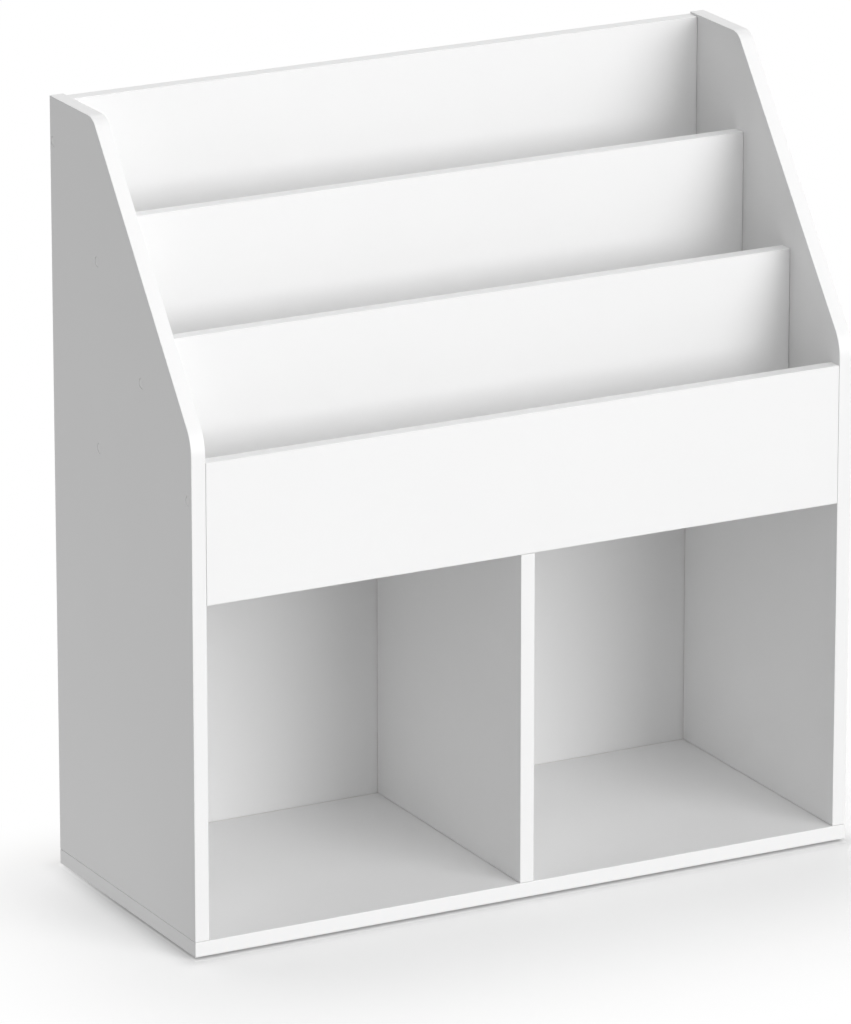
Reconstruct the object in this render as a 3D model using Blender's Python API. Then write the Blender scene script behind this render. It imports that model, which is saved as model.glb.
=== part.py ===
"""White flat-pack unit for a child's room: three stepped book slots above two open toy compartments.

The two sides stand on the base panel. A divider and a shelf make the compartments. A low fascia and three
taller boards, each further back and higher than the last, make the book slots, and each taller board
stands on its own slot floor. A thin sheet closes the back up to the last board. Screws with push-in cover
caps hold the boards to the sides, screws from below hold the uprights to the base, and wooden dowels keep
the boards from turning. Metres, +Z up, front towards -Y, origin on the floor under the middle.
"""

import math

import bmesh
import bpy
from mathutils import Matrix, Vector

# Boards
BOARD_THICKNESS = 0.015
UNIT_WIDTH = 0.720
SIDE_DEPTH = 0.300
EDGE_RADIUS = 0.0006
JOINT_GAP = 0.0003  # left wherever two pieces meet

# Compartments and book slots, all clear inside measures except the board heights
COMPARTMENT_HEIGHT = 0.336
FASCIA_HEIGHT = 0.141
TIER_BOARD_HEIGHT = 0.220
TIER_RISE = 0.0963
FRONT_SLOT_WIDTH = 0.0824
MIDDLE_SLOT_WIDTH = 0.0785

# Outline of the sides: flat top at the back, long slope, upright front edge
SIDE_ABOVE_BACK_BOARD = 0.002
SIDE_FRONT_ABOVE_FASCIA = 0.0219
SIDE_TOP_DEPTH = 0.0946
SIDE_TOP_RADIUS = 0.020
SIDE_FRONT_RADIUS = 0.045

# Thin sheet on the back
SHEET_THICKNESS = 0.003
SHEET_INSET = 0.003

# Screws: countersunk head with a six-sided socket
SCREW_LENGTH = 0.050
SCREW_RADIUS = 0.0035
SCREW_TIP_RADIUS = 0.002
SCREW_TIP_LENGTH = 0.004
SCREW_HEAD_RADIUS = 0.005
SCREW_HEAD_RIM = 0.0006
SCREW_HEAD_SINK = 0.0020
SOCKET_SIDES = 6
SOCKET_WIDTH = 0.004
SOCKET_DEPTH = 0.003

# Places of the screws
TIER_SCREW_DROP = 0.042
FASCIA_SCREW_DROP = 0.037
BASE_SCREW_INSET = 0.050

# Cover caps pushed into the sockets of the side screws, sunk a little below the face of the side
CAP_RADIUS = 0.0050
CAP_THICKNESS = 0.0011
CAP_EASE = 0.0003
CAP_PEG_LENGTH = 0.0026

# Dowels
DOWEL_LENGTH = 0.030
DOWEL_RADIUS = 0.004
DOWEL_CHAMFER = 0.001
DOWEL_COVER = 0.005
TIER_DOWEL_RISE = 0.042
FASCIA_DOWEL_RISE = 0.037
SHELF_DOWEL_INSET = 0.050
DIVIDER_DOWEL_INSET = 0.070

# Nail-on glides under the base
GLIDE_HEIGHT = 0.003
GLIDE_RADIUS = 0.010
GLIDE_ROUNDING = 0.0012
GLIDE_PIN_RADIUS = 0.001
GLIDE_PIN_LENGTH = 0.009
GLIDE_PIN_POINT = 0.002
GLIDE_SIDE_INSET = 0.025
GLIDE_END_INSET = 0.030

# Facets, shading and cutters
ARC_STEPS = 16
EDGE_STEPS = 2
EDGE_ANGLE = math.radians(60.0)
SMOOTH_ANGLE = math.radians(35.0)
TURN_STEPS = 16
DOWEL_STEPS = 12
ROUNDING_STEPS = 3
CUT_OVERRUN = 0.001
MERGE_DISTANCE = 1e-6

# Levels and depths that follow from the sizes above
FRONT_Y = -(SIDE_DEPTH + JOINT_GAP + SHEET_THICKNESS) / 2
REAR_Y = FRONT_Y + SIDE_DEPTH
HALF_WIDTH = UNIT_WIDTH / 2
INNER_HALF_WIDTH = HALF_WIDTH - BOARD_THICKNESS

BASE_Z = GLIDE_HEIGHT + JOINT_GAP
BASE_TOP_Z = BASE_Z + BOARD_THICKNESS
SHELF_Z = BASE_TOP_Z + COMPARTMENT_HEIGHT
SHELF_TOP_Z = SHELF_Z + BOARD_THICKNESS
FASCIA_TOP_Z = SHELF_Z + FASCIA_HEIGHT
MIDDLE_FLOOR_TOP_Z = SHELF_TOP_Z + TIER_RISE
REAR_FLOOR_TOP_Z = MIDDLE_FLOOR_TOP_Z + TIER_RISE
BACK_BOARD_TOP_Z = REAR_FLOOR_TOP_Z + JOINT_GAP + TIER_BOARD_HEIGHT
SIDE_Z = BASE_TOP_Z + JOINT_GAP
SIDE_TOP_Z = BACK_BOARD_TOP_Z + SIDE_ABOVE_BACK_BOARD
SIDE_FRONT_Z = FASCIA_TOP_Z + SIDE_FRONT_ABOVE_FASCIA

FASCIA_BACK_Y = FRONT_Y + BOARD_THICKNESS
FRONT_TIER_Y = FASCIA_BACK_Y + FRONT_SLOT_WIDTH
REAR_TIER_Y = FRONT_TIER_Y + BOARD_THICKNESS + MIDDLE_SLOT_WIDTH
BACK_BOARD_Y = REAR_Y - BOARD_THICKNESS

SIDES = (("left", -1.0), ("right", 1.0))

# Looks: colour, roughness, metallic
FINISHES = {
    "white_melamine": ((0.86, 0.86, 0.85, 1.0), 0.38, 0.0),
    "white_hardboard": ((0.80, 0.80, 0.79, 1.0), 0.55, 0.0),
    "white_cap_plastic": ((0.84, 0.84, 0.83, 1.0), 0.32, 0.0),
    "zinc_plated_steel": ((0.62, 0.63, 0.64, 1.0), 0.34, 1.0),
    "beech_dowel": ((0.68, 0.48, 0.30, 1.0), 0.72, 0.0),
    "glide_plastic": ((0.74, 0.74, 0.72, 1.0), 0.45, 0.0),
}


def clear_scene():
    for obj in list(bpy.data.objects):
        bpy.data.objects.remove(obj, do_unlink=True)


def make_finish(name):
    """A Principled material with the colour, roughness and metallic value of one finish."""
    colour, roughness, metallic = FINISHES[name]
    material = bpy.data.materials.new(name)
    material.use_nodes = True
    shader = material.node_tree.nodes["Principled BSDF"]
    shader.inputs["Base Color"].default_value = colour
    shader.inputs["Roughness"].default_value = roughness
    shader.inputs["Metallic"].default_value = metallic
    material.diffuse_color = colour
    return material


def along(axis):
    """The rotation that turns a piece's own Z axis to this direction."""
    return Vector((0.0, 0.0, 1.0)).rotation_difference(Vector(axis))


def mesh_from(bm, name):
    """The finished bmesh as a mesh with its faces turned outwards and round faces shaded smooth."""
    bmesh.ops.recalc_face_normals(bm, faces=bm.faces)
    mesh = bpy.data.meshes.new(name)
    bm.to_mesh(mesh)
    bm.free()
    mesh.shade_smooth()
    mesh.set_sharp_from_angle(angle=SMOOTH_ANGLE)
    return mesh


def turned(name, profile, steps=TURN_STEPS):
    """A closed turned mesh from (radius, height) points that start and end on the Z axis."""
    bm = bmesh.new()
    verts = [bm.verts.new((radius, 0.0, height)) for radius, height in profile]
    edges = [bm.edges.new(pair) for pair in zip(verts, verts[1:])]
    bmesh.ops.spin(
        bm,
        geom=verts + edges,
        cent=(0.0, 0.0, 0.0),
        axis=(0.0, 0.0, 1.0),
        angle=math.tau,
        steps=steps,
        use_merge=True,
    )
    bmesh.ops.remove_doubles(bm, verts=bm.verts, dist=MERGE_DISTANCE)
    return mesh_from(bm, name)


def block(name, size):
    """A box mesh of this size, centred on its own origin."""
    bm = bmesh.new()
    bmesh.ops.create_cube(bm, size=1.0)
    bmesh.ops.scale(bm, vec=size, verts=bm.verts)
    return mesh_from(bm, name)


def rounded_outline(corners):
    """The points of a polygon of (y, z, radius) corners, with an arc of that radius in each corner."""
    points = []
    for index, (y, z, radius) in enumerate(corners):
        corner = Vector((y, z))
        if radius == 0.0:
            points.append(corner)
            continue
        before = (Vector(corners[index - 1][:2]) - corner).normalized()
        after = (Vector(corners[(index + 1) % len(corners)][:2]) - corner).normalized()
        half = before.angle(after) / 2
        centre = corner + (before + after).normalized() * (radius / math.sin(half))
        start = corner + before * (radius / math.tan(half)) - centre
        turn = math.pi - 2 * half
        turn = math.copysign(turn, after.x * before.y - after.y * before.x)
        for step in range(ARC_STEPS + 1):
            angle = turn * step / ARC_STEPS
            points.append(centre + Matrix.Rotation(angle, 2) @ start)
    return points


def side_outline():
    """The side seen along X, as (y, z) points: base, back, flat top, slope and front edge."""
    return rounded_outline(
        [
            (FRONT_Y, SIDE_Z, 0.0),
            (REAR_Y, SIDE_Z, 0.0),
            (REAR_Y, SIDE_TOP_Z, 0.0),
            (REAR_Y - SIDE_TOP_DEPTH, SIDE_TOP_Z, SIDE_TOP_RADIUS),
            (FRONT_Y, SIDE_FRONT_Z, SIDE_FRONT_RADIUS),
        ]
    )


def side_mesh(name):
    """The side's outline extruded to the board's thickness, centred across it."""
    bm = bmesh.new()
    low_x = -BOARD_THICKNESS / 2
    face = bm.faces.new([bm.verts.new((low_x, point.x, point.y)) for point in side_outline()])
    made = bmesh.ops.extrude_face_region(bm, geom=[face])
    moved = [item for item in made["geom"] if isinstance(item, bmesh.types.BMVert)]
    bmesh.ops.translate(bm, vec=(BOARD_THICKNESS, 0.0, 0.0), verts=moved)
    return mesh_from(bm, name)


def screw_profile(gap, overrun):
    """The screw from its tip to the top of its head at height 0, grown by a gap for the hole it needs."""
    neck = SCREW_HEAD_RIM + SCREW_HEAD_RADIUS - SCREW_RADIUS
    return [
        (0.0, -SCREW_LENGTH - gap),
        (SCREW_TIP_RADIUS + gap, -SCREW_LENGTH - gap),
        (SCREW_RADIUS + gap, SCREW_TIP_LENGTH - SCREW_LENGTH),
        (SCREW_RADIUS + gap, -neck),
        (SCREW_HEAD_RADIUS + gap, -SCREW_HEAD_RIM),
        (SCREW_HEAD_RADIUS + gap, overrun),
        (0.0, overrun),
    ]


def screw_mesh():
    """The screw with its six-sided socket sunk into the head."""
    corner_radius = SOCKET_WIDTH / 2 / math.cos(math.pi / SOCKET_SIDES)
    bm = bmesh.new()
    bmesh.ops.create_cone(
        bm,
        cap_ends=True,
        segments=SOCKET_SIDES,
        radius1=corner_radius,
        radius2=corner_radius,
        depth=2 * SOCKET_DEPTH,
    )
    socket = bpy.data.objects.new("socket_cutter", mesh_from(bm, "socket_cutter"))
    blank = bpy.data.objects.new("screw_blank", turned("screw_blank", screw_profile(0.0, 0.0)))
    for obj in (socket, blank):
        bpy.context.scene.collection.objects.link(obj)
    cut = blank.modifiers.new("Socket", "BOOLEAN")
    cut.operation = "DIFFERENCE"
    cut.solver = "EXACT"
    cut.object = socket
    graph = bpy.context.evaluated_depsgraph_get()
    mesh = bpy.data.meshes.new_from_object(blank.evaluated_get(graph))
    mesh.name = "screw"
    for obj in (socket, blank):
        bpy.data.objects.remove(obj, do_unlink=True)
    return mesh


def cap_profile():
    """A flat cap over the screw's head at height 0, with an eased rim and the peg that grips the socket."""
    peg_radius = SOCKET_WIDTH / 2 - JOINT_GAP
    top = JOINT_GAP + CAP_THICKNESS
    return [
        (0.0, -CAP_PEG_LENGTH),
        (peg_radius, -CAP_PEG_LENGTH),
        (peg_radius, JOINT_GAP),
        (CAP_RADIUS, JOINT_GAP),
        (CAP_RADIUS, top - CAP_EASE),
        (CAP_RADIUS - CAP_EASE, top),
        (0.0, top),
    ]


def dowel_profile():
    """A plain dowel with chamfered ends, centred on its length."""
    half = DOWEL_LENGTH / 2
    neck = DOWEL_RADIUS - DOWEL_CHAMFER
    return [
        (0.0, -half),
        (neck, -half),
        (DOWEL_RADIUS, DOWEL_CHAMFER - half),
        (DOWEL_RADIUS, half - DOWEL_CHAMFER),
        (neck, half),
        (0.0, half),
    ]


def dowel_bore_profile():
    half = DOWEL_LENGTH / 2 + JOINT_GAP
    radius = DOWEL_RADIUS + JOINT_GAP
    return [(0.0, -half), (radius, -half), (radius, half), (0.0, half)]


def glide_profile():
    """A flat foot with a rounded lower edge and the nail that is driven into the base."""
    points = [(0.0, 0.0)]
    for step in range(ROUNDING_STEPS + 1):
        angle = math.pi / 2 * step / ROUNDING_STEPS
        radius = GLIDE_RADIUS - GLIDE_ROUNDING * (1.0 - math.sin(angle))
        points.append((radius, GLIDE_ROUNDING * (1.0 - math.cos(angle))))
    points.append((GLIDE_RADIUS, GLIDE_HEIGHT))
    points.append((GLIDE_PIN_RADIUS, GLIDE_HEIGHT))
    points.append((GLIDE_PIN_RADIUS, GLIDE_HEIGHT + GLIDE_PIN_LENGTH - GLIDE_PIN_POINT))
    points.append((0.0, GLIDE_HEIGHT + GLIDE_PIN_LENGTH))
    return points


def glide_bore_profile():
    radius = GLIDE_PIN_RADIUS + JOINT_GAP
    bottom = GLIDE_HEIGHT - CUT_OVERRUN
    top = GLIDE_HEIGHT + GLIDE_PIN_LENGTH + JOINT_GAP
    return [(0.0, bottom), (radius, bottom), (radius, top), (0.0, top)]


class Unit:
    """The unit under construction: its boards, the holes each of them needs, and the pieces of hardware."""

    def __init__(self):
        self.root = bpy.data.objects.new("toy_storage_unit", None)
        bpy.context.scene.collection.objects.link(self.root)
        self.finishes = {name: make_finish(name) for name in FINISHES}
        self.holes = {}
        self.screw = screw_mesh()
        bore_profile = screw_profile(JOINT_GAP, SCREW_HEAD_SINK + CUT_OVERRUN)
        self.screw_bore = turned("screw_bore", bore_profile)
        self.cap = turned("cap", cap_profile())
        self.dowel = turned("dowel", dowel_profile(), DOWEL_STEPS)
        self.dowel_bore = turned("dowel_bore", dowel_bore_profile(), DOWEL_STEPS)
        self.glide = turned("glide", glide_profile())
        self.glide_bore = turned("glide_bore", glide_bore_profile())

    def place(self, name, mesh, finish, location, axis=(0.0, 0.0, 1.0)):
        """A named object whose mesh stands at this place with its own Z axis along the given direction."""
        obj = bpy.data.objects.new(name, mesh)
        if not mesh.materials:
            mesh.materials.append(self.finishes[finish])
        obj.location = location
        obj.rotation_mode = "QUATERNION"
        obj.rotation_quaternion = along(axis)
        obj.parent = self.root
        bpy.context.scene.collection.objects.link(obj)
        return obj

    def ease_edges(self, obj):
        bevel = obj.modifiers.new("Eased edges", "BEVEL")
        bevel.width = EDGE_RADIUS
        bevel.segments = EDGE_STEPS
        bevel.limit_method = "ANGLE"
        bevel.angle_limit = EDGE_ANGLE

    def board(self, name, low, high, finish="white_melamine"):
        """A board with eased edges between two opposite corners."""
        low = Vector(low)
        high = Vector(high)
        obj = self.place(name, block(name, high - low), finish, (low + high) / 2)
        self.ease_edges(obj)
        self.holes[name] = []
        return obj

    def side(self, name, sign):
        centre_x = sign * (HALF_WIDTH - BOARD_THICKNESS / 2)
        obj = self.place(name, side_mesh(name), "white_melamine", (centre_x, 0.0, 0.0))
        self.ease_edges(obj)
        self.holes[name] = []
        return obj

    def bore(self, boards, mesh, location, axis):
        """Notes a hole that runs through these boards."""
        matrix = Matrix.Translation(location) @ along(axis).to_matrix().to_4x4()
        for name in boards:
            self.holes[name].append((mesh, matrix))

    def cut_holes(self):
        """Takes all noted holes out of each board with one cutter."""
        for name, holes in self.holes.items():
            if not holes:
                continue
            bm = bmesh.new()
            for mesh, matrix in holes:
                before = len(bm.verts)
                bm.from_mesh(mesh)
                bm.verts.ensure_lookup_table()
                bmesh.ops.transform(bm, matrix=matrix, verts=bm.verts[before:])
            cutter = bpy.data.objects.new(name + "_holes", mesh_from(bm, name + "_holes"))
            cutter.hide_render = True
            cutter.display_type = "WIRE"
            cutter.parent = self.root
            bpy.context.scene.collection.objects.link(cutter)
            cut = bpy.data.objects[name].modifiers.new("Holes", "BOOLEAN")
            cut.operation = "DIFFERENCE"
            cut.solver = "EXACT"
            cut.object = cutter

    def side_screws(self, label, board, y, z):
        """A capped screw through each side into the end of a board."""
        for side, sign in SIDES:
            head = Vector((sign * (HALF_WIDTH - SCREW_HEAD_SINK), y, z))
            outward = Vector((sign, 0.0, 0.0))
            self.bore((side + "_side_panel", board), self.screw_bore, head, outward)
            self.place(f"{side}_{label}_screw", self.screw, "zinc_plated_steel", head, outward)
            self.place(f"{side}_{label}_screw_cap", self.cap, "white_cap_plastic", head, outward)

    def side_dowels(self, label, board, y, z):
        """A dowel between each side and the end of a board."""
        centre_x = HALF_WIDTH - DOWEL_COVER - DOWEL_LENGTH / 2
        for side, sign in SIDES:
            centre = Vector((sign * centre_x, y, z))
            outward = Vector((sign, 0.0, 0.0))
            self.bore((side + "_side_panel", board), self.dowel_bore, centre, outward)
            self.place(f"{side}_{label}_dowel", self.dowel, "beech_dowel", centre, outward)

    def base_screws(self, label, board, x):
        """Two screws from below through the base into the foot of an upright."""
        for place, y in (("front", FRONT_Y + BASE_SCREW_INSET), ("rear", REAR_Y - BASE_SCREW_INSET)):
            head = Vector((x, y, BASE_Z + SCREW_HEAD_SINK))
            down = Vector((0.0, 0.0, -1.0))
            self.bore(("base_panel", board), self.screw_bore, head, down)
            self.place(f"{label}_{place}_base_screw", self.screw, "zinc_plated_steel", head, down)


def add_boards(unit):
    """All boards and the back sheet, each cut to fit between its neighbours."""
    board_x = INNER_HALF_WIDTH - JOINT_GAP
    unit.board("base_panel", (-HALF_WIDTH, FRONT_Y, BASE_Z), (HALF_WIDTH, REAR_Y, BASE_TOP_Z))
    for side, sign in SIDES:
        unit.side(side + "_side_panel", sign)
    unit.board(
        "centre_divider",
        (-BOARD_THICKNESS / 2, FRONT_Y, BASE_TOP_Z + JOINT_GAP),
        (BOARD_THICKNESS / 2, REAR_Y, SHELF_Z - JOINT_GAP),
    )
    unit.board(
        "compartment_shelf",
        (-board_x, FASCIA_BACK_Y + JOINT_GAP, SHELF_Z),
        (board_x, REAR_Y, SHELF_TOP_Z),
    )
    unit.board("front_fascia", (-board_x, FRONT_Y, SHELF_Z), (board_x, FASCIA_BACK_Y, FASCIA_TOP_Z))
    for name, y, floor_z in (
        ("front_tier_board", FRONT_TIER_Y, SHELF_TOP_Z),
        ("rear_tier_board", REAR_TIER_Y, MIDDLE_FLOOR_TOP_Z),
        ("top_back_board", BACK_BOARD_Y, REAR_FLOOR_TOP_Z),
    ):
        foot = floor_z + JOINT_GAP
        unit.board(name, (-board_x, y, foot), (board_x, y + BOARD_THICKNESS, foot + TIER_BOARD_HEIGHT))
    for name, y, top_z in (
        ("middle_slot_floor", FRONT_TIER_Y, MIDDLE_FLOOR_TOP_Z),
        ("rear_slot_floor", REAR_TIER_Y, REAR_FLOOR_TOP_Z),
    ):
        front_y = y + BOARD_THICKNESS + JOINT_GAP
        unit.board(name, (-board_x, front_y, top_z - BOARD_THICKNESS), (board_x, REAR_Y, top_z))
    sheet_x = HALF_WIDTH - SHEET_INSET
    sheet_y = REAR_Y + JOINT_GAP
    unit.board(
        "back_sheet",
        (-sheet_x, sheet_y, BASE_Z + SHEET_INSET),
        (sheet_x, sheet_y + SHEET_THICKNESS, REAR_FLOOR_TOP_Z - BOARD_THICKNESS / 2),
        "white_hardboard",
    )


def add_screws(unit):
    """One screw at each end of every slot board and of the middle slot floor, and two under each upright."""
    half = BOARD_THICKNESS / 2
    rear_tier_y = REAR_TIER_Y + half
    tier_screw = JOINT_GAP + TIER_BOARD_HEIGHT - TIER_SCREW_DROP
    unit.side_screws("fascia", "front_fascia", FRONT_Y + half, FASCIA_TOP_Z - FASCIA_SCREW_DROP)
    unit.side_screws("front_tier", "front_tier_board", FRONT_TIER_Y + half, SHELF_TOP_Z + tier_screw)
    unit.side_screws("rear_tier", "rear_tier_board", rear_tier_y, MIDDLE_FLOOR_TOP_Z + tier_screw)
    unit.side_screws("back_board", "top_back_board", BACK_BOARD_Y + half, REAR_FLOOR_TOP_Z + tier_screw)
    unit.side_screws("slot_floor", "middle_slot_floor", rear_tier_y, MIDDLE_FLOOR_TOP_Z - half)
    unit.base_screws("left", "left_side_panel", -HALF_WIDTH + half)
    unit.base_screws("centre", "centre_divider", 0.0)
    unit.base_screws("right", "right_side_panel", HALF_WIDTH - half)


def add_dowels(unit):
    """Dowels low in each slot board, in the ends of the shelf and the rear floor, and on the divider."""
    half = BOARD_THICKNESS / 2
    tier_dowel = JOINT_GAP + TIER_DOWEL_RISE
    unit.side_dowels("fascia", "front_fascia", FRONT_Y + half, SHELF_Z + FASCIA_DOWEL_RISE)
    unit.side_dowels("front_tier", "front_tier_board", FRONT_TIER_Y + half, SHELF_TOP_Z + tier_dowel)
    unit.side_dowels("rear_tier", "rear_tier_board", REAR_TIER_Y + half, MIDDLE_FLOOR_TOP_Z + tier_dowel)
    unit.side_dowels("back_board", "top_back_board", BACK_BOARD_Y + half, REAR_FLOOR_TOP_Z + tier_dowel)
    floor_y = (REAR_TIER_Y + BOARD_THICKNESS + REAR_Y) / 2
    unit.side_dowels("slot_floor", "rear_slot_floor", floor_y, REAR_FLOOR_TOP_Z - half)
    shelf_z = SHELF_Z + half
    unit.side_dowels("shelf_front", "compartment_shelf", FASCIA_BACK_Y + SHELF_DOWEL_INSET, shelf_z)
    unit.side_dowels("shelf_rear", "compartment_shelf", REAR_Y - SHELF_DOWEL_INSET, shelf_z)
    divider_z = SHELF_TOP_Z - DOWEL_COVER - DOWEL_LENGTH / 2
    up = Vector((0.0, 0.0, 1.0))
    for place, y in (
        ("front", FASCIA_BACK_Y + DIVIDER_DOWEL_INSET),
        ("rear", REAR_Y - DIVIDER_DOWEL_INSET),
    ):
        centre = Vector((0.0, y, divider_z))
        unit.bore(("centre_divider", "compartment_shelf"), unit.dowel_bore, centre, up)
        unit.place(f"divider_{place}_dowel", unit.dowel, "beech_dowel", centre, up)


def add_glides(unit):
    """A nail-on glide near each corner of the base."""
    up = Vector((0.0, 0.0, 1.0))
    for side, sign in SIDES:
        x = sign * (HALF_WIDTH - GLIDE_SIDE_INSET)
        for place, y in (("front", FRONT_Y + GLIDE_END_INSET), ("rear", REAR_Y - GLIDE_END_INSET)):
            foot = Vector((x, y, 0.0))
            unit.bore(("base_panel",), unit.glide_bore, foot, up)
            unit.place(f"{side}_{place}_glide", unit.glide, "glide_plastic", foot, up)


def main():
    clear_scene()
    unit = Unit()
    add_boards(unit)
    add_screws(unit)
    add_dowels(unit)
    add_glides(unit)
    unit.cut_holes()


main()
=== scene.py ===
"""Looks of a white toy storage unit with two open compartments below and three book slots above.

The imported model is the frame. The boards keep their own solids and get their finish here, detailed
fittings stand in for the plain ones, and the stage adds the floor, the light and the camera.
"""

import math

import bpy
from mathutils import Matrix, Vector


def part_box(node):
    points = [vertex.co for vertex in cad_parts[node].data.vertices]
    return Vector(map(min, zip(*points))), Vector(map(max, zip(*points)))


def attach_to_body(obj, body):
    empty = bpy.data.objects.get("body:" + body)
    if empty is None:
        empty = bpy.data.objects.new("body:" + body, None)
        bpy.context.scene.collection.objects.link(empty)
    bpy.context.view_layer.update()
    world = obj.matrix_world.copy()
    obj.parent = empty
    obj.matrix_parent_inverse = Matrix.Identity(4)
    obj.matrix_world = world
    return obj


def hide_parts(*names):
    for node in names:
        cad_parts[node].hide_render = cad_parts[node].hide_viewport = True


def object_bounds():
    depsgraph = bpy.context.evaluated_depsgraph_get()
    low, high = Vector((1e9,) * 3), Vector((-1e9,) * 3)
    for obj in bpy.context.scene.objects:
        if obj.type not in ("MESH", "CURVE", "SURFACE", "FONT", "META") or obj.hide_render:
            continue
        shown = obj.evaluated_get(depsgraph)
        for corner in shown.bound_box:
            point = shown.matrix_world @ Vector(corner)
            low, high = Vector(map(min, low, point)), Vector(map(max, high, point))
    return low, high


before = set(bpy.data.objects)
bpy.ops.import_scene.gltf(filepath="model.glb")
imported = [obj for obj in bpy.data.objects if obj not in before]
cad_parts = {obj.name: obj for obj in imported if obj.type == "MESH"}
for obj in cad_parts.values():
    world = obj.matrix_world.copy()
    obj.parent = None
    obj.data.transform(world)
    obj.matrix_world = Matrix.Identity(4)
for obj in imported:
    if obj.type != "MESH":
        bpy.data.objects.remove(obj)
CAD_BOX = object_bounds()

bl_info = {
    "name": "Toy storage unit looks",
    "version": (1, 0, 0),
    "blender": (4, 5, 0),
    "location": "View3D > Sidebar > Toy Unit",
    "description": "Finishes, fittings, floor, light and camera of a white toy storage unit",
    "category": "Object",
}

BODY = "root"

# Boards, with the sides that carry edging: the axis it faces and the end of that axis.
LOW, HIGH = 0, 1
X, Y, Z = 0, 1, 2
BOARDS = {
    "base_panel": ((X, LOW), (X, HIGH), (Y, LOW)),
    "centre_divider": ((Y, LOW),),
    "compartment_shelf": ((Y, LOW),),
    "front_fascia": ((Z, LOW), (Z, HIGH)),
    "front_tier_board": ((Z, HIGH),),
    "rear_tier_board": ((Z, HIGH),),
    "top_back_board": ((Z, LOW), (Z, HIGH)),
    "middle_slot_floor": ((Y, LOW),),
    "rear_slot_floor": ((Y, LOW),),
}
SIDES = ("left_side_panel", "right_side_panel")
# Arcs of a side's outline below and above its slope, as its solid has them.
SIDE_FRONT_RADIUS = 0.045
SIDE_TOP_RADIUS = 0.020
SHEET = "back_sheet"

# Nodes of each kind of fitting, by the end of their names.
NODES = sorted(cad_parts)
CAPS = [name for name in NODES if name.endswith("_cap")]
SCREWS = [name for name in NODES if name.endswith("_screw")]
DOWELS = [name for name in NODES if name.endswith("_dowel")]
GLIDES = [name for name in NODES if name.endswith("_glide")]

# Outlines turned round an axis, in metres: distance from the axis and height along it. Each has 8 or 16
# steps, so that its points fall on samples of the float curve. The dowel's last point fills up to 8.
CAP_OUTLINE = (
    (0.0, -0.0040),
    (0.0014, -0.0040),
    (0.0017, -0.0037),
    (0.0017, -0.0011),
    (0.0034, -0.0011),
    (0.00502, -0.0011),
    (0.00516, -0.0010),
    (0.00516, -0.00012),
    (0.00514, 0.00004),
    (0.00507, 0.00015),
    (0.00496, 0.00022),
    (0.0048, 0.00025),
    (0.0039, 0.00037),
    (0.0029, 0.00046),
    (0.0019, 0.00053),
    (0.0009, 0.00057),
    (0.0, 0.00058),
)
DOWEL_OUTLINE = (
    (0.0, 0.0),
    (0.0029, 0.0),
    (0.0033, 0.0003),
    (0.0040, 0.0012),
    (0.0040, 0.0288),
    (0.0033, 0.0297),
    (0.0029, 0.0300),
    (0.0, 0.0300),
    (0.0, 0.0300),
)
GLIDE_OUTLINE = (
    (0.0, 0.0),
    (0.0020, 0.0),
    (0.0088, 0.0),
    (0.00926, 0.00009),
    (0.00965, 0.00035),
    (0.00991, 0.00074),
    (0.0100, 0.0012),
    (0.0100, 0.0027),
    (0.0097, 0.0030),
    (0.0060, 0.0030),
    (0.0013, 0.0030),
    (0.0010, 0.0033),
    (0.0010, 0.0080),
    (0.0010, 0.0100),
    (0.0006, 0.0110),
    (0.0002, 0.0118),
    (0.0, 0.0120),
)
NAIL_OUTLINE = (
    (0.0, -0.0120),
    (0.0006, -0.0105),
    (0.0006, 0.0),
    (0.0019, 0.0),
    (0.0022, 0.0002),
    (0.0018, 0.00055),
    (0.0010, 0.00075),
    (0.0004, 0.0008),
    (0.0, 0.0008),
)
MERGE_DISTANCE = 1e-6
SMOOTH_ANGLE = math.radians(40.0)
TURN_STEPS = 40
NAIL_TURN_STEPS = 14
FLUTES = 16
FLUTE_DEPTH = 0.0003
STEPS_PER_FLUTE = 4

# Screw threads: the shank, the ridge on it, and the bare ends below the head and at the tip.
SHANK_RADIUS = 0.0035
THREAD_LENGTH = 0.040
THREAD_PITCH = 0.0040
THREAD_DEPTH = 0.0002
THREAD_SIDES = 3
THREAD_TURN_STEPS = 18
THREAD_START = 0.006
THREAD_END = 0.004

# Nails: how far rows keep from the sides of the sheet, columns from the boards above and below them, and
# the top row from the sheet's upper edge, and the digits by which two nails count as one.
NAIL_ROW_INSET = 0.03
NAIL_COLUMN_INSET = 0.06
NAIL_TOP_INSET = 0.005
NAIL_DIGITS = 5

# Finishes: how much of its normal a face needs along an axis to face it or to lean, and shared values.
FACING = 0.6
LEANING = 0.3
HAIRLINE_HALF_WIDTH = 0.00006
SATIN_SPECULAR = 0.35
PLASTIC_SPREAD = 0.05
CHIP_RELIEF = 4.0
FLECK_THRESHOLD = 0.66
FLECK_STRENGTH = 0.7
STEEL = "zinc_plated_steel"
WHITE = (1.0, 1.0, 1.0, 1.0)
BLACK = (0.0, 0.0, 0.0, 1.0)
# A smooth maximum of two equal distances rises above them by its width divided by this.
SMOOTH_MAX_DIVISOR = 6.0

SENSOR_WIDTH = 36.0
CLIP_END = 200.0

# The floor: how far it goes, and the spans over which its light changes from beside the unit to further
# off and to the front.
FLOOR_REACH = 12.0
BOUNCE_FAR = (1.2, 1.8)
BOUNCE_FRONT = (-0.25, -0.05)
# How far beside, before and behind the unit the floor's light, and the lift of its shade, become full.
BOUNCE_REACH = (0.001, 0.004, 0.004)
CONTACT_REACH = (0.025, 0.025, 0.025)


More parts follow.
